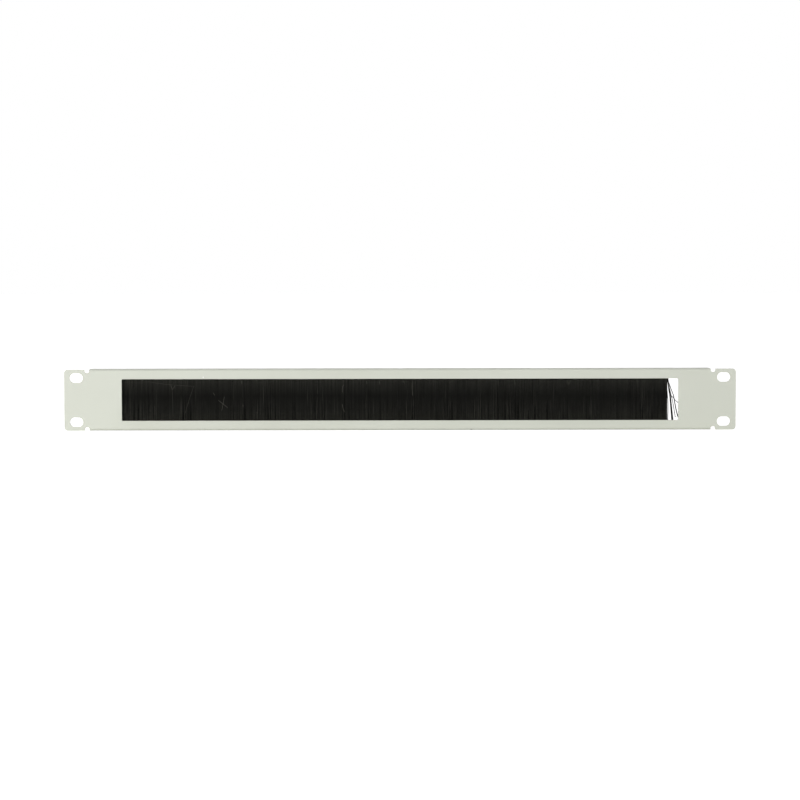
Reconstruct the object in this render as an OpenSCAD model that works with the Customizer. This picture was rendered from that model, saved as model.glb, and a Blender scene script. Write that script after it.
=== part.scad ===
// Rack brush strip panel, one rack unit high, for 19-inch racks.
// A folded steel panel has a cable window, and a strip brush hangs behind it. A clamp rail
// under the top flange holds the strip with clinch studs, lock washers and nuts. The strip
// has slid 7.5 mm to the left, so a gap is open at the right end of the window, and a few
// bristles fan out into it.
// X runs along the panel, +Z is up and the front faces -Y. The origin is the centre of the
// four rack slots on the back of the ears, the plane that meets the rack.

/* [Panel] */
// Width over both ears
panel_w = 482.6; // [481:0.1:484]
// Height of the panel
panel_h = 44; // [43:0.1:44.4]
// Thickness of the sheet
sheet_t = 1.5; // [1.2:0.1:2]
// Depth over the front face and the flanges
panel_depth = 16; // [15:0.5:25]
// Length of the top and bottom flanges
flange_len = 446.7; // [440:0.1:447.5]
// Inside radius of the flange bends
bend_r = 0.5; // [0.4:0.1:1]
// Radius at the outer corners of the ears
ear_corner_r = 2.5; // [0.5:0.1:4]
// Radius at the back corners of the flanges
flange_corner_r = 2; // [0.5:0.1:5]
// Width of the relief notches beside the bends
notch_w = 3.3; // [2:0.1:4]
// Depth of the relief notches
notch_depth = 2.5; // [2.2:0.1:3.5]

/* [Rack slots] */
// Distance between the left and right slots
slot_spacing_x = 465.1; // [464:0.1:466]
// Distance between the upper and lower slots
slot_spacing_z = 31.75; // [31:0.05:32]
// Length of a slot
slot_len = 9.5; // [7.5:0.1:10.5]
// Height of a slot, with clearance for an M6 screw
slot_h = 6.8; // [6.4:0.1:7.2]

/* [Window] */
// Width of the cable window
window_w = 400; // [380:1:410]
// Height of the cable window
window_h = 30; // [26:0.5:30]
// Radius at the window's corners
window_corner_r = 0.7; // [0.3:0.1:2]

/* [Strip brush] */
// Length of the brush strip
strip_len = 400; // [380:1:404]
// How far the strip has slid to the left
strip_slide = 7.5; // [0:0.5:8]
// Width of the strip's steel channel
channel_w = 4.5; // [4.3:0.1:5]
// Height of the channel
channel_h = 4.55; // [4.5:0.01:4.55]
// Wall of the channel
channel_wall = 0.6; // [0.5:0.05:0.7]
// Gap between the channel's crimped edges
mouth_w = 2; // [1.8:0.1:2.2]
// Diameter of the core wire that the bristles are folded round
core_d = 1.3; // [1:0.1:1.5]
// How far the bristle tips hang below the window's bottom edge
tip_overlap = 3; // [1:0.5:4]
// Number of strands in each row of bristles
strands = 364; // [40:1:400]
// Lean of the outer rows away from the middle one, in degrees
row_lean = 1; // [0.5:0.1:1]
// Diameter of a single loose bristle
bristle_d = 0.3; // [0.2:0.05:0.3]

/* [Clamp rail] */
// Length of the rail
rail_len = 420; // [412:1:440]
// Thickness of the rail
rail_t = 0.8; // [0.7:0.05:0.8]
// Inside radius of the rail's bends
rail_bend_r = 0.4; // [0.2:0.1:0.4]
// Distance from the panel's mounting plane to the back edge of the rail
rail_back = 13; // [12.9:0.1:13]

/* [Fasteners] */
// Number of studs
stud_count = 5; // [2:1:5]
// Distance between neighbouring studs
stud_spacing = 100; // [60:5:100]
// Distance from the mounting plane to the studs' axes
stud_y = 9.2; // [9:0.1:9.4]
// Thread diameter of the studs and nuts
thread_d = 3; // [2.5:0.5:3]
// Diameter of a stud's flush head
stud_head_d = 4.6; // [4:0.1:5]
// Height of a stud's flush head
stud_head_h = 1; // [0.6:0.1:1]
// Length of a stud over its head
stud_len = 6.4; // [5.8:0.1:6.4]
// Diameter of the clearance holes in the rail
rail_hole_d = 3.4; // [3.2:0.1:3.6]
// Outside diameter of a lock washer
washer_d = 6.2; // [5.5:0.1:6.2]
// Thickness of a lock washer
washer_t = 0.8; // [0.6:0.1:0.8]
// Width of a nut across its flats
nut_af = 5.5; // [5:0.5:6]
// Height of a nut
nut_h = 2.4; // [1.8:0.1:2.4]

/* [Hidden] */
$fn = 48;

panel_colour = [0.85, 0.86, 0.82];
zinc_colour = [0.72, 0.73, 0.74];
steel_colour = [0.55, 0.55, 0.56];
bristle_colour = [0.09, 0.09, 0.08];

bend_out_r = bend_r + sheet_t;
flange_y = panel_depth - sheet_t;
flange_under_z = panel_h / 2 - sheet_t;
fold_z = panel_h / 2 - bend_out_r;
notch_x = (flange_len + notch_w) / 2;

// The strip sits against the back of the face and just under the top flange
top_play = 0.05;
strip_left = -strip_len / 2 - strip_slide;
strip_right = strip_left + strip_len;
strip_y = channel_w / 2;
strip_top_z = flange_under_z - top_play;
mouth_z = strip_top_z - channel_h;
crimp_h = 1.5;
core_z = strip_top_z - channel_w / 2;
tip_z = -window_h / 2 - tip_overlap;

// Bristle rows: a front one and a back one lean away from a closed middle one
row_t = 0.6;
row_gap = 0.08;
root_z = mouth_z + 0.5;
tip_share = 0.72;
tip_sway = 0.11;
tip_unevenness = 0.7;
split_low = 8;
split_high = 14.5;

rail_out_r = rail_bend_r + rail_t;
rail_front = channel_w;
lip_front = strip_y + mouth_w / 2 + 0.1;
rail_leg_under_z = flange_under_z - rail_t;
washer_z = rail_leg_under_z - washer_t;
nut_z = washer_z - nut_h;

stud_xs = [for (i = [0:stud_count - 1]) (i - (stud_count - 1) / 2) * stud_spacing];

// Paths of the loose bristles at the strip's right end, as x past that end and z
loose_paths = [
    [[0.2, 15.4], [0.3, 8], [0.5, 1], [0.9, -6], [0.8, -16.5]],
    [[0.2, 15.4], [0.5, 14], [1.1, 7], [1.7, 3.5], [2.4, -3.7], [3.7, -15], [3.9, -17]],
    [[0.3, 15.4], [0.9, 13], [2.4, 8], [4.4, 3.4], [5.3, -1.2], [6.4, -7.6], [7.4, -11.5], [8.5, -14.5]],
    [[0.3, 15.4], [1, 9], [1.9, 3.2], [2.4, 2.4], [4.4, 1.2], [5.5, -0.4], [8.2, -2.6]],
    [[0.2, 15.4], [2, 7.5], [3.9, -0.4], [4.6, -4.5], [5.3, -8.6], [6, -13.2]]
];

// Paths of broken bristles caught on the front of the brush, as x and z
stray_paths = [
    [[-182, 12.7], [-165, 10.3], [-149, 9.4], [-152, -1], [-156, -12.4]],
    [[-164.3, 7.6], [-163.9, -2], [-163.6, -11.8]],
    [[-130.4, -0.3], [-127.5, -3.4], [-124, -5.8]],
    [[-41.5, 10.9], [-40.8, 5.3]],
    [[-41.6, -3.5], [-40.3, -8.9]],
    [[120.2, 13.2], [121.2, 10.6], [122.6, 13.4]]
];

// A rectangle about the origin with rounded corners
module rounded_rect(w, h, r) {
    square([w - 2 * r, h], center = true);
    square([w, h - 2 * r], center = true);
    for (x = [-1, 1], y = [-1, 1])
        translate([x * (w / 2 - r), y * (h / 2 - r)])
            circle(r);
}

// A slot with fully rounded ends, lying along x
module obround(len, h) {
    square([len - h, h], center = true);
    for (x = [-1, 1])
        translate([x * (len - h) / 2, 0])
            circle(h / 2);
}

// A quarter of a bent sheet's section, from its outer corner inwards
module bend_section(out_r, t) {
    intersection() {
        difference() {
            circle(out_r);
            circle(out_r - t);
        }
        square(out_r);
    }
}

// Stands a section drawn in y and z up along x
module along_x(len) {
    rotate([90, 0, 90])
        linear_extrude(len, center = true)
            children();
}

// Stands a drawing in x and z up, with its thickness running back from y = 0
module upright(t) {
    translate([0, t, 0])
        rotate([90, 0, 0])
            linear_extrude(t)
                children();
}

// A relief notch, open at the panel's top edge and round at its bottom
module relief_notch() {
    translate([0, panel_h / 2 - notch_depth + notch_w / 2])
        circle(notch_w / 2);
    translate([-notch_w / 2, panel_h / 2 - notch_depth + notch_w / 2])
        square([notch_w, notch_depth]);
}

module face_outline() {
    difference() {
        rounded_rect(panel_w, panel_h, ear_corner_r);
        rounded_rect(window_w, window_h, window_corner_r);
        for (x = [-1, 1], z = [-1, 1])
            translate([x * slot_spacing_x / 2, z * slot_spacing_z / 2])
                obround(slot_len, slot_h);
        for (z = [0, 1], x = [-1, 1])
            mirror([0, z])
                translate([x * notch_x, 0])
                    relief_notch();
        for (z = [0, 1])
            mirror([0, z])
                translate([-notch_x, fold_z])
                    square([2 * notch_x, bend_out_r + 1]);
    }
}

// The flange's plan in x and y, with its front edge on the bend and rounded back corners
module flange_plan() {
    difference() {
        translate([0, flange_y - flange_corner_r - panel_depth / 2])
            rounded_rect(flange_len, panel_depth + 2 * flange_corner_r, flange_corner_r);
        translate([-flange_len / 2 - 1, bend_r - 2 * panel_depth])
            square([flange_len + 2, 2 * panel_depth]);
    }
}

module top_flange() {
    translate([0, bend_r, fold_z])
        mirror([0, 1, 0])
            along_x(flange_len)
                bend_section(bend_out_r, sheet_t);
    translate([0, 0, flange_under_z])
        linear_extrude(sheet_t)
            flange_plan();
}

module front_panel() {
    color(panel_colour)
        difference() {
            union() {
                translate([0, -sheet_t, 0])
                    upright(sheet_t)
                        face_outline();
                top_flange();
                mirror([0, 0, 1])
                    top_flange();
            }
            for (x = stud_xs)
                translate([x, stud_y, flange_under_z - 1]) {
                    cylinder(d = thread_d, h = sheet_t + 2);
                    translate([0, 0, 1 + sheet_t - stud_head_h])
                        cylinder(d = stud_head_d, h = stud_head_h + 1);
                }
        }
}

// Section of the rail: a leg under the flange, a wall behind the strip and a lip below it
module rail_section() {
    wall_low = mouth_z + rail_bend_r;
    wall_high = flange_under_z - rail_out_r;
    translate([rail_front, wall_low])
        square([rail_t, wall_high - wall_low]);
    translate([rail_front + rail_out_r, wall_high])
        mirror([1, 0])
            bend_section(rail_out_r, rail_t);
    translate([rail_front + rail_out_r, rail_leg_under_z])
        square([rail_back - rail_front - rail_out_r, rail_t]);
    translate([rail_front - rail_bend_r, wall_low])
        mirror([0, 1])
            bend_section(rail_out_r, rail_t);
    translate([lip_front, mouth_z - rail_t])
        square([rail_front - rail_bend_r - lip_front, rail_t]);
}

module clamp_rail() {
    color(zinc_colour)
        difference() {
            along_x(rail_len)
                rail_section();
            for (x = stud_xs)
                translate([x, stud_y, rail_leg_under_z - 1])
                    cylinder(d = rail_hole_d, h = rail_t + 2);
        }
}

// An arch over the strip's axis whose legs draw in to a mouth of the given width
module arch_section(w, mouth) {
    translate([strip_y, core_z])
        intersection() {
            circle(w / 2);
            translate([-w / 2, 0])
                square([w, w / 2]);
        }
    polygon([
        [strip_y - w / 2, core_z],
        [strip_y - w / 2, mouth_z + crimp_h],
        [strip_y - mouth / 2, mouth_z],
        [strip_y + mouth / 2, mouth_z],
        [strip_y + w / 2, mouth_z + crimp_h],
        [strip_y + w / 2, core_z]
    ]);
}

module channel_inside() {
    arch_section(channel_w - 2 * channel_wall, mouth_w);
}

// Lays a section out over the strip's own length
module along_strip() {
    translate([(strip_left + strip_right) / 2, 0, 0])
        along_x(strip_len)
            children();
}

module brush_channel() {
    color(zinc_colour)
        along_strip()
            difference() {
                arch_section(channel_w, mouth_w + 2 * channel_wall);
                channel_inside();
            }
}

module core_wire() {
    color(steel_colour)
        translate([strip_left, strip_y, core_z])
            rotate([0, 90, 0])
                cylinder(d = core_d, h = strip_len);
}

// Outline of a row of bristles in x and z: a band along the top, split into strands that
// narrow towards uneven tips
function row_outline(seed) =
    let (
        pitch = strip_len / strands,
        sway = rands(-tip_sway, tip_sway, strands, seed),
        uneven = rands(-tip_unevenness, tip_unevenness, 2 * strands, seed + 1),
        split_z = rands(split_low, split_high, strands, seed + 2)
    )
    concat(
        [[strip_right, root_z], [strip_left, root_z]],
        [for (i = [0:strands - 1]) each [
            [strip_left + i * pitch, split_z[i]],
            [strip_left + (i + 0.5 - tip_share / 2) * pitch + sway[i], tip_z + uneven[2 * i]],
            [strip_left + (i + 0.5 + tip_share / 2) * pitch + sway[i], tip_z + uneven[2 * i + 1]]
        ]]
    );

// One row of bristles, with its front face at y in the mouth and leaning about that line
module bristle_row(y, lean, seed) {
    translate([0, y, mouth_z])
        rotate([lean, 0, 0])
            translate([0, 0, -mouth_z])
                upright(row_t)
                    polygon(row_outline(seed));
}

module bristles() {
    mouth_front = strip_y - mouth_w / 2 + row_gap;
    mouth_back = strip_y + mouth_w / 2 - row_gap;
    color(bristle_colour) {
        along_strip()
            difference() {
                channel_inside();
                translate([strip_y, core_z])
                    circle(d = core_d);
            }
        bristle_row(mouth_front, -row_lean, 11);
        bristle_row(mouth_back - row_t, row_lean, 23);
        translate([strip_left, mouth_front + row_t + row_gap, tip_z])
            cube([strip_len, mouth_back - mouth_front - 2 * (row_t + row_gap), root_z - tip_z]);
    }
}

// Unit vector in the xz plane, square to the path at its point i
function path_side(path, i) =
    let (
        step = path[min(i + 1, len(path) - 1)] - path[max(i - 1, 0)],
        side = [-step.z, 0, step.x]
    )
    side / norm(side);

// A single bristle with four sides, drawn along a path of points in space
module filament(path) {
    r = bristle_d / 2;
    count = len(path);
    points = [for (i = [0:count - 1]) each [
        path[i] + r * path_side(path, i),
        path[i] + [0, r, 0],
        path[i] - r * path_side(path, i),
        path[i] - [0, r, 0]
    ]];
    walls = [for (i = [0:count - 2], k = [0:3]) each [
        [4 * i + k, 4 * i + (k + 1) % 4, 4 * i + 4 + k],
        [4 * i + (k + 1) % 4, 4 * i + 4 + (k + 1) % 4, 4 * i + 4 + k]
    ]];
    last = 4 * (count - 1);
    polyhedron(points, concat([[0, 3, 2, 1]], walls, [[last, last + 1, last + 2, last + 3]]));
}

module loose_bristles() {
    color(bristle_colour)
        for (i = [0:len(loose_paths) - 1])
            filament([for (p = loose_paths[i])
                [strip_right + p[0], strip_y - mouth_w / 2 + 0.2 + 0.4 * i, p[1]]]);
}

// y of a bristle that lies on the front row at height z
function front_y(z) =
    strip_y - mouth_w / 2 - (mouth_z - z) * tan(row_lean) - bristle_d / 2;

module stray_bristles() {
    color(bristle_colour)
        for (path = stray_paths)
            filament([for (p = path) [p[0], front_y(p[1]), p[1]]]);
}

module clinch_studs() {
    chamfer = 0.4;
    color(zinc_colour)
        for (x = stud_xs)
            translate([x, stud_y, panel_h / 2 - stud_len]) {
                cylinder(d1 = thread_d - 2 * chamfer, d2 = thread_d, h = chamfer);
                translate([0, 0, chamfer])
                    cylinder(d = thread_d, h = stud_len - stud_head_h - chamfer);
                translate([0, 0, stud_len - stud_head_h])
                    cylinder(d = stud_head_d, h = stud_head_h);
            }
}

// A spring ring, cut through at a slant
module lock_washer() {
    split_w = 0.5;
    difference() {
        cylinder(d = washer_d, h = washer_t);
        translate([0, 0, -1])
            cylinder(d = thread_d + 0.2, h = washer_t + 2);
        rotate([0, 25, 0])
            translate([-split_w / 2, 0, -washer_d])
                cube([split_w, washer_d, 2 * washer_d]);
    }
}

module lock_washers() {
    color(zinc_colour)
        for (i = [0:stud_count - 1])
            translate([stud_xs[i], stud_y, washer_z])
                rotate([0, 0, 70 * i])
                    lock_washer();
}

// A hexagon nut, chamfered at both ends
module hex_nut() {
    corner_d = nut_af / cos(30);
    chamfer_h = 0.4;
    rim_d = nut_af + 4 * chamfer_h;
    difference() {
        intersection() {
            cylinder(d = corner_d, h = nut_h, $fn = 6);
            union() {
                cylinder(d1 = nut_af, d2 = rim_d, h = chamfer_h);
                translate([0, 0, chamfer_h])
                    cylinder(d = rim_d, h = nut_h - 2 * chamfer_h);
                translate([0, 0, nut_h - chamfer_h])
                    cylinder(d1 = rim_d, d2 = nut_af, h = chamfer_h);
            }
        }
        translate([0, 0, -1])
            cylinder(d = thread_d, h = nut_h + 2);
    }
}

module hex_nuts() {
    color(zinc_colour)
        for (i = [0:stud_count - 1])
            translate([stud_xs[i], stud_y, nut_z])
                rotate([0, 0, 17 * i])
                    hex_nut();
}

front_panel();
clamp_rail();
brush_channel();
core_wire();
bristles();
loose_bristles();
stray_bristles();
clinch_studs();
lock_washers();
hex_nuts();
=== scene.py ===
"""Looks of the rack brush strip panel: materials, drawn filaments, threads, light and camera.

Lengths are in metres, in the part's own frame: X along the panel, +Z up, the front faces -Y.
"""
import math

import bmesh
import bpy
import numpy as np
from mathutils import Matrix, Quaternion, Vector


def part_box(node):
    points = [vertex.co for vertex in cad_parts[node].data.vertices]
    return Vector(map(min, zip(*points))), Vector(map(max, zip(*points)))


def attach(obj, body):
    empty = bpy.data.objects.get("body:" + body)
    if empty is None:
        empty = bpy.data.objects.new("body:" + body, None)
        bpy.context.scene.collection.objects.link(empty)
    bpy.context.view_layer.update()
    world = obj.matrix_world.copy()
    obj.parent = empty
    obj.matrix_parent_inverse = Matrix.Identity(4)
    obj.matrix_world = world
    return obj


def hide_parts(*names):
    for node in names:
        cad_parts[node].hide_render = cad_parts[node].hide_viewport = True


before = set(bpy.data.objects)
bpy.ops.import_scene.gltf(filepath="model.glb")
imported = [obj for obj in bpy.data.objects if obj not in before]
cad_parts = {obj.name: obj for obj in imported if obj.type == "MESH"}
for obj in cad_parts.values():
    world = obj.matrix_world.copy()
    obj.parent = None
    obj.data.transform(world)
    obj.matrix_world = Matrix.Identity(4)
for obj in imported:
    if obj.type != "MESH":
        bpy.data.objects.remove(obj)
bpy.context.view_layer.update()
MM = 0.001

# The panel and the strip brush, from their solids
PANEL_LOW, PANEL_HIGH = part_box("front_panel")
STRIP_LOW, STRIP_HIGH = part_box("bristles")
CHANNEL_LOW, CHANNEL_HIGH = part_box("brush_channel")
WIRE_LOW, WIRE_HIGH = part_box("core_wire")
STRIP_Y = (CHANNEL_LOW.y + CHANNEL_HIGH.y) / 2
MOUTH_Z = CHANNEL_LOW.z

# The drawn filaments start a little above the channel's mouth and fill it. They hang in rows, one
# behind the other, and PITCH is their spacing along a row.
ROOT_Z = MOUTH_Z + 0.5 * MM
MOUTH_HALF = 0.92 * MM
ROWS = 8
PITCH = 0.22 * MM
FILAMENT_R = 0.1 * MM


# ---------------------------------------------------------------- materials

def new_material(name, **constants):
    """A material with its Principled shader, whose sockets named in constants are set."""
    mat = bpy.data.materials.new(name)
    mat.use_nodes = True
    shader = mat.node_tree.nodes["Principled BSDF"]
    for socket, value in constants.items():
        shader.inputs[socket.replace("_", " ")].default_value = value
    return mat, shader


def add(owner, kind, inputs=None, **settings):
    """A node of that kind. An input that is a socket is linked, and any other is set."""
    node = owner.node_tree.nodes.new(kind)
    for key, value in settings.items():
        setattr(node, key, value)
    for key, value in (inputs or {}).items():
        if isinstance(value, bpy.types.NodeSocket):
            owner.node_tree.links.new(value, node.inputs[key])
        else:
            node.inputs[key].default_value = value
    return node


def link(owner, node, **sockets):
    """Links each socket named in sockets to its value."""
    for socket, value in sockets.items():
        owner.node_tree.links.new(value, node.inputs[socket.replace("_", " ")])


def number(owner, operation, a, b):
    return add(owner, "ShaderNodeMath", {0: a, 1: b}, operation=operation).outputs["Value"]


def vector(mat, operation, a, b, output="Vector"):
    return add(mat, "ShaderNodeVectorMath", {0: a, 1: b}, operation=operation).outputs[output]


def object_place(mat):
    """The object's own coordinates, in metres."""
    return add(mat, "ShaderNodeTexCoord").outputs["Object"]


def noise(mat, where, scale, detail=2.0, roughness=0.5, output="Fac"):
    inputs = {"Vector": where, "Scale": scale, "Detail": detail, "Roughness": roughness}
    return add(mat, "ShaderNodeTexNoise", inputs).outputs[output]


def lines_noise(mat, where, *scales):
    """Noise with its own scale along each axis, so that it is drawn out where the scale is small."""
    return noise(mat, vector(mat, "MULTIPLY", where, scales), 1)


def spread(mat, value, low, high, start=0.3, end=0.7):
    """Maps value from start..end to low..high. Noise lies mostly between 0.3 and 0.7."""
    inputs = {"Value": value, "From Min": start, "From Max": end, "To Min": low, "To Max": high}
    return add(mat, "ShaderNodeMapRange", inputs).outputs["Result"]


def mix(mat, share, a, b):
    """A colour between a and b. The Mix node's colour sockets have only their numbers to tell them by."""
    return add(mat, "ShaderNodeMix", {0: share, 6: a, 7: b}, data_type="RGBA").outputs[2]


def bump(mat, height, distance, under=None):
    """A bump of that height, over another one if given."""
    inputs = {"Height": height, "Distance": distance, "Strength": 1.0}
    if under is not None:
        inputs["Normal"] = under
    return add(mat, "ShaderNodeBump", inputs).outputs["Normal"]


# Specks on the panel's face and its lower edge: centre, radius and colour
SPECKS = [
    ((-141.3 * MM, -1.5 * MM, 16.4 * MM), 0.5 * MM, (0.95, 0.95, 0.95, 1)),
    ((51.3 * MM, -0.6 * MM, -22 * MM), 0.9 * MM, (0.22, 0.22, 0.2, 1)),
]


def powder_coat():
    """Light warm grey powder coat: a fine orange peel with small grains in it."""
    mat, shader = new_material("powder_coat", IOR=1.5)
    where = object_place(mat)
    cloud = noise(mat, where, 18, 3)
    grain = noise(mat, where, 2600, 2, 0.6)
    peel = noise(mat, where, 700, 1)
    colour = mix(mat, spread(mat, cloud, 0, 1), (0.640, 0.660, 0.575, 1), (0.675, 0.695, 0.612, 1))
    colour = mix(mat, spread(mat, grain, 0, 0.35, 0.55, 0.75), colour, (0.58, 0.60, 0.53, 1))
    for centre, r, tint in SPECKS:
        away = vector(mat, "DISTANCE", where, centre, output="Value")
        colour = mix(mat, spread(mat, away, 1, 0, 0.6 * r, r), colour, tint)
    rough = spread(mat, noise(mat, where, 300, 2), 0.42, 0.55)
    normal = bump(mat, grain, 0.006 * MM, under=bump(mat, peel, 0.02 * MM))
    link(mat, shader, Base_Color=colour, Roughness=rough, Normal=normal)
    return mat


def galvanised_steel():
    """Rolled zinc-coated sheet: dull crystals a few millimetres wide and rolling lines."""
    mat, shader = new_material("galvanised_steel", Metallic=1.0)
    where = object_place(mat)

    # the crystals' edges are frayed by up to about a millimetre
    blur = noise(mat, where, 900, 3, output="Color")
    frayed = vector(mat, "ADD", where, vector(mat, "MULTIPLY", blur, (0.002, 0.002, 0.002)))
    crystals = add(mat, "ShaderNodeTexVoronoi", {"Vector": frayed, "Scale": 380}).outputs["Color"]
    crystal = add(mat, "ShaderNodeSeparateColor", {"Color": crystals})

    lines = lines_noise(mat, where, 30, 2500, 2500)
    colour = mix(mat, crystal.outputs["Red"], (0.49, 0.50, 0.51, 1), (0.56, 0.575, 0.585, 1))
    rough = number(mat, "ADD", spread(mat, crystal.outputs["Green"], 0.33, 0.41, 0, 1),
                   spread(mat, lines, -0.04, 0.06))
    link(mat, shader, Base_Color=colour, Roughness=rough, Normal=bump(mat, lines, 0.003 * MM))
    return mat


def zinc_plate():
    """Bright zinc plate on the fasteners, faintly blue and finely scuffed."""
    mat, shader = new_material("zinc_plate", Metallic=1.0)
    where = object_place(mat)
    cloud = noise(mat, where, 400)
    scuff = noise(mat, where, 1500, 3, 0.6)
    colour = mix(mat, spread(mat, cloud, 0, 1), (0.56, 0.58, 0.62, 1), (0.68, 0.69, 0.70, 1))
    rough = spread(mat, scuff, 0.2, 0.36)
    link(mat, shader, Base_Color=colour, Roughness=rough, Normal=bump(mat, scuff, 0.002 * MM))
    return mat


def steel_wire():
    """Drawn wire with fine lines along it."""
    mat, shader = new_material("steel_wire", Metallic=1.0)
    lines = lines_noise(mat, object_place(mat), 200, 9000, 9000)
    colour = mix(mat, spread(mat, lines, 0, 1), (0.36, 0.36, 0.37, 1), (0.5, 0.5, 0.51, 1))
    link(mat, shader, Base_Color=colour, Roughness=spread(mat, lines, 0.25, 0.4))
    return mat


def bristle_nylon():
    """Black nylon. A filament is paler where its strand_tone is higher: partly dust, partly painted light,
    as painted glints and as paler ends that offset the shade at the window's edges.
    """
    mat, shader = new_material("bristle_nylon", IOR=1.53, Specular_IOR_Level=0.07)
    tone = add(mat, "ShaderNodeAttribute", attribute_name="strand_tone").outputs["Fac"]
    streaks = lines_noise(mat, object_place(mat), 900, 900, 60)
    black = mix(mat, spread(mat, streaks, 0, 1), (0.004, 0.004, 0.0035, 1), (0.008, 0.008, 0.007, 1))
    colour = mix(mat, tone, black, (0.24, 0.24, 0.20, 1))
    link(mat, shader, Base_Color=colour, Roughness=spread(mat, streaks, 0.42, 0.56))
    return mat


MATERIALS = {make.__name__: make() for make in
             (powder_coat, galvanised_steel, zinc_plate, steel_wire, bristle_nylon)}


# ---------------------------------------------------------------- pieces

def dress(obj, material):
    obj.data.materials.clear()
    obj.data.materials.append(MATERIALS[material])


def new_mesh(name, points, faces):
    mesh = bpy.data.meshes.new(name)
    mesh.from_pydata(points, [], faces)
    return mesh


def new_object(name, data):
    obj = bpy.data.objects.new(name, data)
    bpy.context.scene.collection.objects.link(obj)
    return obj


def new_piece(name, mesh, material, node):
    """A piece that rides on the panel's body and is shown in place of the given node."""
    obj = new_object(name, mesh)
    dress(obj, material)
    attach(obj, "root")
    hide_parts(node)
    return obj


def softened(node, width, material):
    """A copy of a metal node whose cut edges are rounded by width."""
    weld, flat_angle, edge_angle = 1e-6, math.radians(0.5), math.radians(35)
    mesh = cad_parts[node].data.copy()
    obj = new_piece(node + "_softened", mesh, material, node)
    form = bmesh.new()
    form.from_mesh(mesh)
    bmesh.ops.remove_doubles(form, verts=form.verts, dist=weld)
    bmesh.ops.dissolve_limit(form, angle_limit=flat_angle, verts=form.verts, edges=form.edges)
    sharp = [e for e in form.edges if e.is_manifold and e.calc_face_angle() > edge_angle]
    bmesh.ops.bevel(form, geom=sharp, offset=width, offset_type="OFFSET", segments=3, profile=0.5,
                    affect="EDGES", clamp_overlap=True)
    form.to_mesh(mesh)
    form.free()
    mesh.shade_smooth()
    mesh.set_sharp_from_angle(angle=edge_angle)
    flat_faces = obj.modifiers.new("flat_faces", "WEIGHTED_NORMAL")
    flat_faces.keep_sharp = True


# ---------------------------------------------------------------- filaments

def filament_mesh(name, paths, radius, tones, sides=3, across=(0.0, 1.0, 0.0)):
    """One mesh of closed tubes. paths is filaments x points x 3, tones has a value for each point,
    and across is a direction that no filament follows."""
    count, length, _ = paths.shape
    along = np.gradient(paths, axis=1)
    along /= np.linalg.norm(along, axis=2, keepdims=True)
    side = np.cross(along, across)
    side /= np.linalg.norm(side, axis=2, keepdims=True)
    out = np.cross(side, along)
    turn = 2 * math.pi * np.arange(sides) / sides
    ring = radius * (side[:, :, None] * np.cos(turn)[:, None] + out[:, :, None] * np.sin(turn)[:, None])
    points = (paths[:, :, None] + ring).reshape(-1, 3)

    first = np.arange(count)[:, None, None] * length * sides
    level = np.arange(length - 1)[None, :, None] * sides
    k = np.arange(sides)[None, None, :]
    low = first + level + k
    low_next = first + level + (k + 1) % sides
    walls = np.stack([low, low + sides, low_next + sides, low_next], axis=-1).reshape(-1, 4)
    start = first[:, :, 0] + np.arange(sides)
    end = first[:, :, 0] + (length - 1) * sides + np.arange(sides)[::-1]

    mesh = new_mesh(name, points, walls.tolist() + start.tolist() + end.tolist())
    mesh.shade_smooth()
    tone = mesh.attributes.new("strand_tone", "FLOAT", "POINT")
    tone.data.foreach_set("value", np.repeat(tones.ravel(), sides).astype(np.float32))
    return mesh


def filament_piece(name, paths, radius, tones, node, **tube):
    mesh = filament_mesh(name, paths, radius, tones, **tube)
    new_piece(name, mesh, "bristle_nylon", node)


def wander(rng, x, step, size):
    """A smooth random curve of at most that size along x, with a bend about each step."""
    low, high = x.min() - step, x.max() + 2 * step
    values = rng.uniform(-size, size, len(np.arange(low, high, step)))
    share = (x - low) / step
    i = share.astype(int)
    t = share - i
    t = t * t * (3 - 2 * t)
    return values[i] * (1 - t) + values[i + 1] * t


# Levels of a hanging filament's points, from its root at 0 to its tip at 1
LEVELS = np.array([0, 0.14, 0.4, 0.7, 1.0])

# At each level, from the mouth down to the tips: how pale the outermost filaments are, partly from dust and
# partly as painted light that offsets the shade under the window's edges near the mouth and the tips
DUST_AND_PAINTED_LIGHT = np.array([0.26, 0.1, 0.02, 0.06, 0.22])

# At each level: how far the filaments at the strip's right end stand from their roots
END_LEAN = np.array([0, -0.5, -1.1, -0.3, -0.9]) * MM

# Stretches along x, in millimetres, where the front bristles are ruffled and parted
RUFFLED = [(-198, -175), (-161, -149), (-122, -111), (-104, -89), (-66, -54), (-43, -38), (-27, -14),
           (3, 17), (25, 39), (48, 79), (82, 99), (106, 124), (134, 141), (169, 182)]


def ruffle(x):
    """1 in a ruffled stretch and 0 well outside it."""
    fade = 1.5
    x = x[:, None] / MM
    low, high = np.array(RUFFLED).T
    inside = np.minimum(x - low, high - x) / fade + 0.5
    return np.clip(inside.max(axis=1), 0, 1)


def partings(rng):
    """Places where the bristles part: x, how far they move aside, and where that starts and is full."""
    apart = 2.2
    for low, high in RUFFLED:
        for _ in range(max(2, round((high - low) / apart))):
            x = rng.uniform(low, high) * MM
            start = rng.uniform(0.1, 0.6)
            yield x, rng.uniform(0.2, 0.6) * MM, start, start + rng.uniform(0.2, 0.4)


PARTINGS = list(partings(np.random.default_rng(3)))


def parted(x, reach):
    """How far each filament at x moves sideways at each level. reach is 1 at the front and 0 deep in."""
    width = 0.7 * MM
    aside = np.zeros((len(x), len(LEVELS)))
    for at, move, start, full in PARTINGS:
        away = x - at
        share = np.clip((LEVELS - start) / (full - start), 0, 1)
        aside += (np.sign(away) * np.exp(-np.abs(away) / width) * move * reach)[:, None] * share
    return aside


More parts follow.
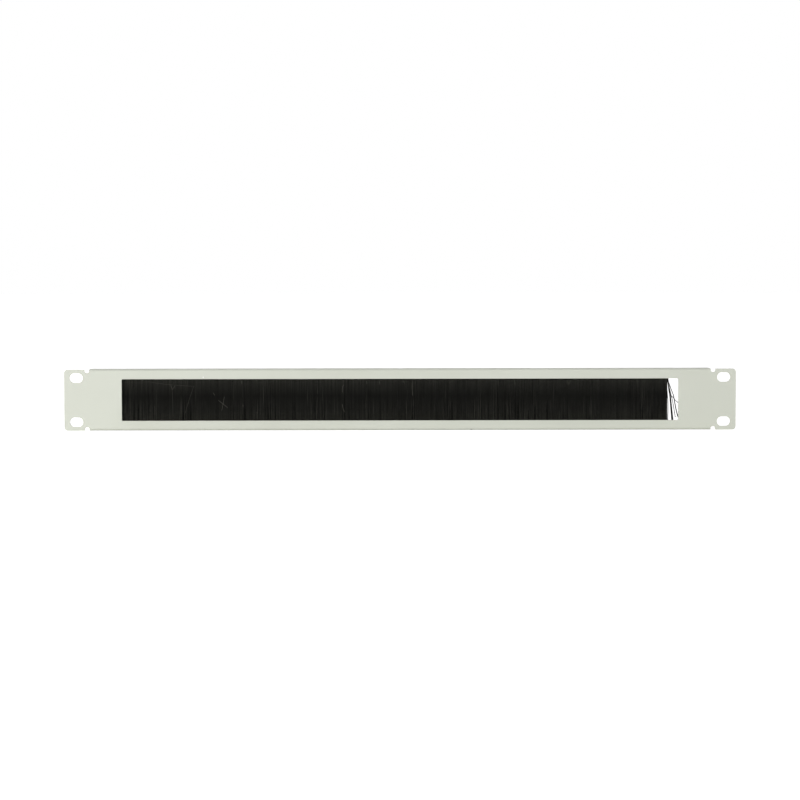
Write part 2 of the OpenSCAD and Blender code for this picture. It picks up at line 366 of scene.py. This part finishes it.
def curtain_roots(rng, low_x, high_x):
    """Row, depth, x and y of the filaments between low_x and high_x. Every other row is staggered,
    and depth runs from -1 at the mouth's front to 1 at its back."""
    columns = round((high_x - low_x) / PITCH)
    column, row = np.meshgrid(np.arange(columns), np.arange(ROWS), indexing="ij")
    column, row = column.ravel(), row.ravel()
    depth = (row + 0.5) / ROWS * 2 - 1
    x = low_x + (column + 0.5 + 0.5 * (row % 2) - 0.25) * PITCH
    x = np.clip(x + rng.normal(0, 0.09, len(row)) * MM, low_x, high_x)
    y = STRIP_Y + depth * MOUTH_HALF + rng.uniform(-0.03, 0.03, len(row)) * MM
    return row, depth, x, y


def curtain_tones(rng, outer, rough):
    """The outer filaments are paler, partly from dust and partly as painted light, and the deep rows stay
    black as painted shade in the partings; some outer filaments get a painted glint at one of their lower
    levels.
    """
    count = len(outer)
    tones = (outer ** 2)[:, None] * DUST_AND_PAINTED_LIGHT * rng.uniform(0.5, 1.5, count)[:, None]
    # painted highlight: a pale band at one level of a few outer filaments stands for a glint of light
    painted_glint = rng.random(count) < 0.03 + 0.16 * rough
    level = rng.choice([2, 3, 4], count, p=[0.2, 0.4, 0.4])
    tones[np.arange(count), level] += painted_glint * outer * rng.uniform(0.06, 0.34, count)
    return tones


def curtain_filaments(rng, low_x, high_x):
    """Paths and tones of the hanging filaments whose roots lie between low_x and high_x."""
    row, depth, x, y = curtain_roots(rng, low_x, high_x)
    count = len(row)
    outer = np.clip(1 - np.minimum(row, ROWS - 1 - row) / 3, 0, 1)
    rough = ruffle(x)

    # sideways they lean in clumps, each row has smaller clumps of its own, and a few lean far
    sway = wander(rng, x, step=9 * MM, size=0.3 * MM)
    sway += wander(rng, x + row * 1.7 * MM, step=2.2 * MM, size=0.2 * MM)
    sway += rng.normal(0, 0.08 + 0.07 * rough, count) * MM
    wild = rng.random(count) < 0.02 + 0.05 * rough
    sway += wild * rng.normal(0, 0.8, count) * MM

    # below the mouth the bundle opens out, and its outer filaments stand off in small waves
    flare = depth * 0.5 * MM + rng.normal(0, 0.06, count) * MM
    flare += np.sign(depth) * outer * wander(rng, x, step=1.1 * MM, size=0.16 * MM) * (0.4 + rough)

    # the tips are trimmed to nearly one length, and none reaches past the strip's solid by more than
    # a filament's width
    mean_tip, lowest_tip = STRIP_LOW.z + 0.6 * MM, STRIP_LOW.z - 0.1 * MM
    tip = mean_tip + wander(rng, x, step=4 * MM, size=0.35 * MM) + rng.normal(0, 0.16, count) * MM
    tip = np.maximum(tip, lowest_tip)

    # within a millimetre or two of the strip's right end they lean together instead
    at_end = np.exp(-(STRIP_HIGH.x - x) / (1.3 * MM))[:, None]
    path_x = x[:, None] + (1 - at_end) * (sway[:, None] * LEVELS ** 1.6 + parted(x, outer))
    path_x += at_end * END_LEAN * rng.uniform(0.6, 1.1, count)[:, None]
    path_y = y[:, None] + flare[:, None] * LEVELS
    path_z = ROOT_Z + (tip[:, None] - ROOT_Z) * LEVELS
    return np.stack([path_x, path_y, path_z], axis=-1), curtain_tones(rng, outer, rough)


def curtain(parts=4):
    """The hanging bristles, in a few pieces side by side."""
    rng = np.random.default_rng(7)
    edges = np.linspace(STRIP_LOW.x, STRIP_HIGH.x, parts + 1)
    for i in range(parts):
        paths, tones = curtain_filaments(rng, edges[i], edges[i + 1])
        filament_piece(f"bristle_curtain_{i + 1}", paths, FILAMENT_R, tones, "bristles")


def core_row():
    """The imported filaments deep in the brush, as one fluted wall that no light passes."""
    flute, mean_tip = 0.2 * MM, STRIP_LOW.z + 1.2 * MM
    count = round((STRIP_HIGH.x - STRIP_LOW.x) / flute)
    rng = np.random.default_rng(13)
    points, faces = [], []
    for i in range(count + 1):
        x = STRIP_LOW.x + (STRIP_HIGH.x - STRIP_LOW.x) * i / count
        half = (0.08 + 0.07 * (i % 2)) * MM
        tip = mean_tip + rng.uniform(-0.3, 0.3) * MM
        points += [(x, STRIP_Y - half, tip), (x, STRIP_Y - half, ROOT_Z),
                   (x, STRIP_Y + half, ROOT_Z), (x, STRIP_Y + half, tip)]
    for i in range(count):
        for k in range(4):
            a, b = 4 * i + k, 4 * i + (k + 1) % 4
            faces.append((a, a + 4, b + 4, b))
    faces += [(0, 1, 2, 3), tuple(4 * count + k for k in (3, 2, 1, 0))]
    mesh = new_mesh("bristle_core_row", points, faces)
    mesh.shade_smooth()
    new_piece("bristle_core_row", mesh, "bristle_nylon", "bristles")


def fold():
    """The bristles' fold round the core wire, at the two ends of the strip where it shows."""
    rng = np.random.default_rng(9)
    shown, loops = 6 * MM, 4
    wire_r = (WIRE_HIGH.z - WIRE_LOW.z) / 2
    wire_z = (WIRE_HIGH.z + WIRE_LOW.z) / 2
    neck_z = MOUTH_Z + 0.6 * MM
    over = np.linspace(0, math.pi, 9)
    paths = []
    for end, inwards in ((STRIP_LOW.x, 1), (STRIP_HIGH.x, -1)):
        for column in range(round(shown / PITCH)):
            for k in range(loops):
                r = wire_r + (0.12 + 0.22 * k) * MM
                leg = MOUTH_HALF * (k + 0.5) / loops
                x = end + inwards * (column + 0.5) * PITCH + rng.uniform(-0.04, 0.04) * MM
                y = STRIP_Y + np.concatenate([[-leg, -leg], -r * np.cos(over), [leg, leg]])
                z = np.concatenate([[MOUTH_Z, neck_z], wire_z + r * np.sin(over), [neck_z, MOUTH_Z]])
                paths.append(np.stack([np.full(len(y), x), y, z], axis=-1))
    paths = np.array(paths)
    tones = np.full(paths.shape[:2], 0.01)
    filament_piece("bristle_fold", paths, FILAMENT_R, tones, "bristles", across=(1.0, 0.0, 0.0))


def smooth_path(points, count):
    """count points on a Catmull-Rom curve through the given ones."""
    points = np.array(points, float)
    ends = np.vstack([2 * points[0] - points[1], points, 2 * points[-1] - points[-2]])
    t = np.linspace(0, len(points) - 1 - 1e-9, count)
    i = t.astype(int)
    u = (t - i)[:, None]
    a, b, c, d = ends[i], ends[i + 1], ends[i + 2], ends[i + 3]
    return 0.5 * (2 * b + (c - a) * u + (2 * a - 5 * b + 4 * c - d) * u ** 2
                  + (3 * b - a - 3 * c + d) * u ** 3)


# Loose bristles at the strip's right end: how many filaments follow each route, and the route
# from its root down, in millimetres: x past the end, and z
LOOSE_ROUTES = [
    (2, [(0.1, 15.4), (-0.3, 9), (0, 4), (0.4, -1), (0.5, -8), (0.3, -16.5)]),
    (6, [(0.2, 15.4), (0.5, 13), (1.2, 6.6), (1.9, 3), (2.6, -3.9), (3.1, -9), (3.7, -15), (3.9, -17)]),
    (3, [(0.3, 15.4), (0.6, 12.8), (1.5, 10.4), (2.9, 6.5), (4.4, 2.6), (5.1, -1.3), (6.2, -7),
         (7.3, -11.5), (8.4, -14.5)]),
    (2, [(0.3, 15.4), (0.9, 8), (1.7, 3.4), (2.6, 2.3), (4.2, 1.1), (5.4, -0.5), (8.0, -2.9)]),
    (2, [(0.2, 15.4), (1.7, 7.5), (3.6, -0.4), (4.4, -4.6), (5.1, -8.7), (5.9, -13.3)]),
]
LOOSE_ROOT_Z = 15.4

# They show as dark lines against the light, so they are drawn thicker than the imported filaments
LOOSE_R = 0.17 * MM

# Broken bristles caught on the front, in millimetres: x and z
STRAY_ROUTES = [
    [(-181.7, 13.1), (-172, 11.6), (-160, 10.4), (-149.4, 9.8), (-148.5, 9.3), (-149, 8), (-152, -1),
     (-155.5, -12.4)],
    [(-163.9, 7), (-163.5, -2), (-163.4, -12)],
    [(-164.9, 10.6), (-163.8, 7.3)],
    [(-161.8, 10), (-163.7, 7.4)],
    [(-134.3, 4.9), (-133.3, 3.2)],
    [(-130.7, -0.3), (-127.5, -2.9), (-123.9, -5.8)],
    [(-126.4, 2.3), (-127.3, -3), (-128.3, -7.8)],
    [(-113.1, -3.4), (-112.8, -5.2)],
    [(-114, 13.4), (-113.7, 11.4)],
    [(-40.3, 10.9), (-41.4, 8.6), (-41.5, 5.3)],
    [(-41.5, -3.5), (-41, -6.4), (-39.9, -8.9)],
    [(-24.2, 13.6), (-23.8, 11)],
    [(-14.7, 13.5), (-14.8, 11.2)],
    [(2.4, 13.6), (3.3, 11.6)],
    [(8.9, 13.6), (8.8, 9), (9.1, 2.6)],
    [(82.4, 13.6), (82.9, 10.5)],
    [(120, 13.4), (121.2, 10.8), (122.9, 13.4)],
]


def loose_bristles():
    """The loose bristles. A route's filaments lie side by side and spread apart downwards, and each
    route lies behind the one before it."""
    rng = np.random.default_rng(5)
    spacing, y_step = 0.2, 0.4
    paths = []
    for i, (count, route) in enumerate(LOOSE_ROUTES):
        for k in range(count):
            apart = (k - (count - 1) / 2) * spacing + rng.normal(0, 0.04)
            y = STRIP_Y / MM + (i - 2) * y_step + 0.08 * k
            points = [(STRIP_HIGH.x / MM + x + apart * (0.5 + (LOOSE_ROOT_Z - z) / 40), y, z)
                      for x, z in route]
            paths.append(smooth_path(points, 22) * MM)
    paths = np.array(paths)
    tones = np.full(paths.shape[:2], 0.01)
    filament_piece("loose_filaments", paths, LOOSE_R, tones, "loose_bristles", sides=6)


def front_of_curtain(z):
    """y of a filament that lies on the front of the curtain at height z, in metres."""
    flare = 0.6 * MM
    share = (MOUTH_Z - z) / (MOUTH_Z - STRIP_LOW.z)
    return STRIP_Y - MOUTH_HALF - share * flare - 2 * FILAMENT_R


def stray_bristles():
    """The broken bristles, whose pale tone is a painted highlight for the light they catch; those that hang
    far down get less of it than the short ones.
    """
    paths = np.array([smooth_path([(x * MM, front_of_curtain(z * MM), z * MM) for x, z in route], 24)
                      for route in STRAY_ROUTES])
    long = np.ptp(paths[:, :, 2], axis=1) > 12 * MM
    # painted highlight: a pale tone on the stray filaments, less on the long ones
    tones = np.repeat(np.where(long, 0.2, 0.45)[:, None], paths.shape[1], axis=1)
    filament_piece("stray_filaments", paths, FILAMENT_R, tones, "stray_bristles", sides=6)


# ---------------------------------------------------------------- studs

# M3 thread
THREAD_R, THREAD_PITCH, THREAD_DEPTH = 1.5 * MM, 0.5 * MM, 0.3 * MM
LEAD_IN = 0.45 * MM


def thread_radius(z, turn, end_z):
    """Radius of the thread at height z and that share of a turn. Its lower end, at end_z, is pointed."""
    phase = (z / THREAD_PITCH - turn) % 1

    # straight flanks between a flat crest at half a turn and a flat root
    r = THREAD_R - THREAD_DEPTH * min(1, max(0, 2.4 * abs(phase - 0.5) - 0.2))
    return min(r, THREAD_R - LEAD_IN + (z - end_z))


def revolved_grid(rings, sides):
    """Vertices and faces of a closed solid whose rings are lists of (radius, z), one pair for each side."""
    turn = [2 * math.pi * k / sides for k in range(sides)]
    points = [(r * math.cos(a), r * math.sin(a), z) for ring in rings for a, (r, z) in zip(turn, ring)]
    faces = [tuple(range(sides))[::-1], tuple(len(points) - sides + k for k in range(sides))]
    for level in range(len(rings) - 1):
        for k in range(sides):
            a, b = level * sides + k, level * sides + (k + 1) % sides
            faces.append((a, b, b + sides, a + sides))
    return points, faces


def stud_places():
    """x of each stud's axis, from the solids, in which no gap within a stud is wider than apart."""
    apart = 10 * MM
    xs = sorted(v.co.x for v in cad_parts["clinch_studs"].data.vertices)
    groups = [[xs[0]]]
    for x in xs[1:]:
        if x - groups[-1][-1] > apart:
            groups.append([])
        groups[-1].append(x)
    return [(group[0] + group[-1]) / 2 for group in groups]


def threaded_studs():
    """The studs with their threads and slightly rounded heads."""
    sides, steps_per_pitch = 28, 8
    low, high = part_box("clinch_studs")
    head_r, head_h, edge = 2.3 * MM, 1.0 * MM, 0.08 * MM
    neck = high.z - head_h
    count = math.floor((neck - low.z) / (THREAD_PITCH / steps_per_pitch))
    rings = []
    for i in range(count + 1):
        z = low.z + (neck - low.z) * i / count
        rings.append([(thread_radius(z, k / sides, low.z), z) for k in range(sides)])
    for r, z in ((head_r - edge, neck), (head_r, neck + edge), (head_r, high.z - edge),
                 (head_r - edge, high.z)):
        rings.append([(r, z)] * sides)
    points, faces = revolved_grid(rings, sides)

    centre_y = (low.y + high.y) / 2
    all_points, all_faces = [], []
    for x in stud_places():
        start = len(all_points)
        all_points += [(x + px, centre_y + py, pz) for px, py, pz in points]
        all_faces += [tuple(v + start for v in face) for face in faces]
    mesh = new_mesh("threaded_studs", all_points, all_faces)
    mesh.shade_smooth()
    mesh.set_sharp_from_angle(angle=math.radians(40))
    new_piece("threaded_studs", mesh, "zinc_plate", "clinch_studs")


# ---------------------------------------------------------------- light, floor, camera

def lamp(name, location, size, power):
    """A round soft lamp that looks at the panel's middle and isn't seen itself."""
    light = bpy.data.lights.new(name, "AREA")
    light.shape = "DISK"
    light.size = size
    light.energy = power
    obj = new_object(name, light)
    obj.location = location
    obj.rotation_euler = (-Vector(location)).to_track_quat("-Z", "Y").to_euler()
    obj.visible_camera = False


def studio():
    """Three soft lamps, and a world that is white where it is seen and dim where it only lights."""
    world = bpy.data.worlds.new("studio")
    bpy.context.scene.world = world
    world.use_nodes = True
    ray = add(world, "ShaderNodeLightPath").outputs
    seen = number(world, "MAXIMUM", ray["Is Camera Ray"], ray["Is Glossy Ray"])
    seen = number(world, "MAXIMUM", seen, ray["Is Transmission Ray"])
    back = world.node_tree.nodes["Background"]
    back.inputs["Color"].default_value = (1, 1, 1, 1)
    link(world, back, Strength=spread(world, seen, 0.34, 1.0, 0, 1))

    lamp("key", (-1.1, -1.7, 0.25), 0.9, 24.6)
    lamp("fill", (1.2, -1.6, 0.15), 1.2, 11.8)
    lamp("back", (-1.6, 1.1, 0.5), 1.0, 16)


def floor():
    """A pale floor that shows white to the camera, keeps the shadow and is clear from below."""
    half, z, camera_glow = 6.0, PANEL_LOW.z, 0.72
    corners = [(-half, -half, z), (half, -half, z), (half, half, z), (-half, half, z)]
    mesh = new_mesh("floor", corners, [(0, 1, 2, 3)])
    obj = new_object("floor", mesh)
    mat, shader = new_material("floor", Base_Color=(0.8, 0.8, 0.8, 1), Roughness=0.9,
                               Emission_Color=(1, 1, 1, 1))
    ray = add(mat, "ShaderNodeLightPath").outputs
    link(mat, shader, Emission_Strength=number(mat, "MULTIPLY", ray["Is Camera Ray"], camera_glow))
    clear = add(mat, "ShaderNodeBsdfTransparent").outputs["BSDF"]
    under = add(mat, "ShaderNodeNewGeometry").outputs["Backfacing"]
    either = add(mat, "ShaderNodeMixShader", {0: under, 1: shader.outputs["BSDF"], 2: clear})
    link(mat, mat.node_tree.nodes["Material Output"], Surface=either.outputs["Shader"])
    mesh.materials.append(mat)


def camera():
    """A long lens in front of the panel's middle and a little above it."""
    distance, elevation, roll = 1.7, math.radians(3.5), math.radians(0.1)
    panel_share_of_width = 0.8395
    cam = bpy.data.cameras.new("camera")
    obj = new_object("camera", cam)
    aim = Vector((0, PANEL_LOW.y, -0.25 * MM))
    back = Vector((0, -math.cos(elevation), math.sin(elevation)))
    obj.location = aim + back * distance
    level = (-back).to_track_quat("-Z", "Y")
    obj.rotation_euler = (level @ Quaternion((0, 0, 1), -roll)).to_euler()
    view_width = (PANEL_HIGH.x - PANEL_LOW.x) / panel_share_of_width
    cam.sensor_width = 36
    cam.lens = cam.sensor_width / view_width * distance
    cam.clip_end = 50
    bpy.context.scene.camera = obj


softened("front_panel", 0.12 * MM, "powder_coat")
softened("clamp_rail", 0.08 * MM, "galvanised_steel")
softened("brush_channel", 0.05 * MM, "galvanised_steel")
softened("lock_washers", 0.05 * MM, "zinc_plate")
softened("hex_nuts", 0.06 * MM, "zinc_plate")
dress(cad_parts["core_wire"], "steel_wire")
threaded_studs()
curtain()
core_row()
fold()
loose_bristles()
stray_bristles()
studio()
floor()
camera()

scene = bpy.context.scene
scene.view_settings.view_transform = "Standard"
